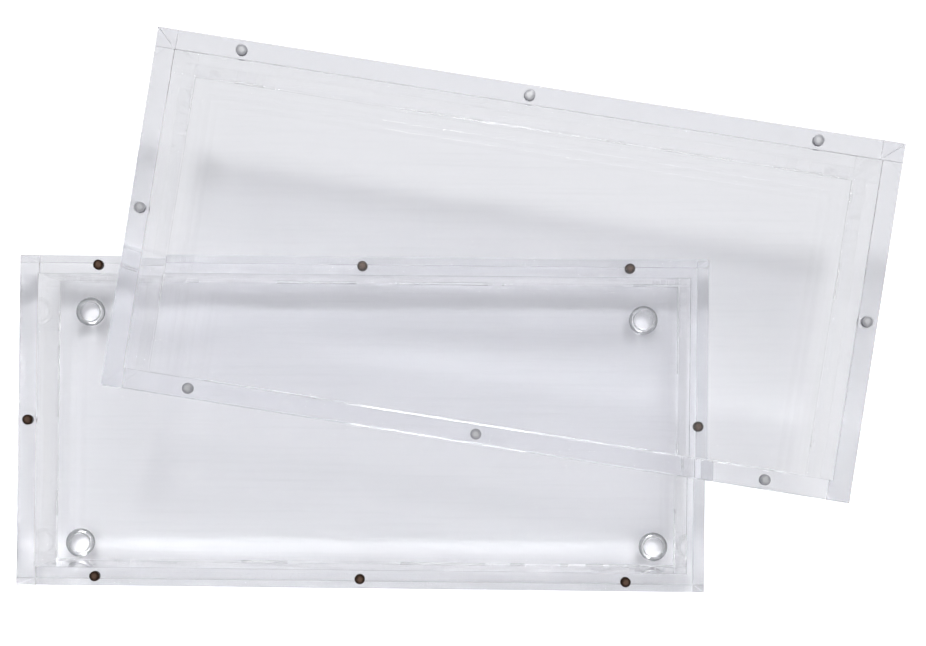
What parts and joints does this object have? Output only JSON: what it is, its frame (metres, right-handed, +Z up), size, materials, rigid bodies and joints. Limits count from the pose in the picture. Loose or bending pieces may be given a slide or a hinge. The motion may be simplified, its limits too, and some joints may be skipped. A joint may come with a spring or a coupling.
{
  "type": "magnetic display case",
  "caption": "Clear display case: a shallow tray on bumper feet and a deeper cover laid upturned across it, with magnets flush in both rims.",
  "frame": {"origin": "centre of the whole set's footprint, on the surface the feet stand on", "axes": "+X to the right along the tray's long sides, +Y from the tray's front to its back, +Z up"},
  "size_m": [0.267, 0.1658, 0.0454],
  "materials": {
    "clear_sheet": "clear cast acrylic sheet, polished faces and edges, faint cool tint",
    "clear_bumper": "clear soft polyurethane, glossy dome",
    "tray_magnet": "dark bronze-brown plated disc magnet, satin",
    "cover_magnet": "nickel-plated disc magnet, satin"
  },
  "bodies": {
    "tray": {"tray_floor": "clear_sheet", "tray_back_wall": "clear_sheet", "tray_front_wall": "clear_sheet", "tray_left_wall": "clear_sheet", "tray_right_wall": "clear_sheet", "tray_foot_front_left": "clear_bumper", "tray_foot_front_right": "clear_bumper", "tray_foot_back_left": "clear_bumper", "tray_foot_back_right": "clear_bumper", "tray_magnet_back_left": "tray_magnet", "tray_magnet_back_middle": "tray_magnet", "tray_magnet_back_right": "tray_magnet", "tray_magnet_front_left": "tray_magnet", "tray_magnet_front_middle": "tray_magnet", "tray_magnet_front_right": "tray_magnet", "tray_magnet_left_end": "tray_magnet", "tray_magnet_right_end": "tray_magnet"},
    "cover": {"cover_panel": "clear_sheet", "cover_back_wall": "clear_sheet", "cover_front_wall": "clear_sheet", "cover_left_wall": "clear_sheet", "cover_right_wall": "clear_sheet", "cover_magnet_back_left": "cover_magnet", "cover_magnet_back_middle": "cover_magnet", "cover_magnet_back_right": "cover_magnet", "cover_magnet_front_left": "cover_magnet", "cover_magnet_front_middle": "cover_magnet", "cover_magnet_front_right": "cover_magnet", "cover_magnet_left_end": "cover_magnet", "cover_magnet_right_end": "cover_magnet"}
  },
  "joints": [
    {"name": "cover_lift", "type": "slide", "parent": "tray", "child": "cover", "axis": [0, 0, 1], "range_m": [0, 0.08]}
  ]
}
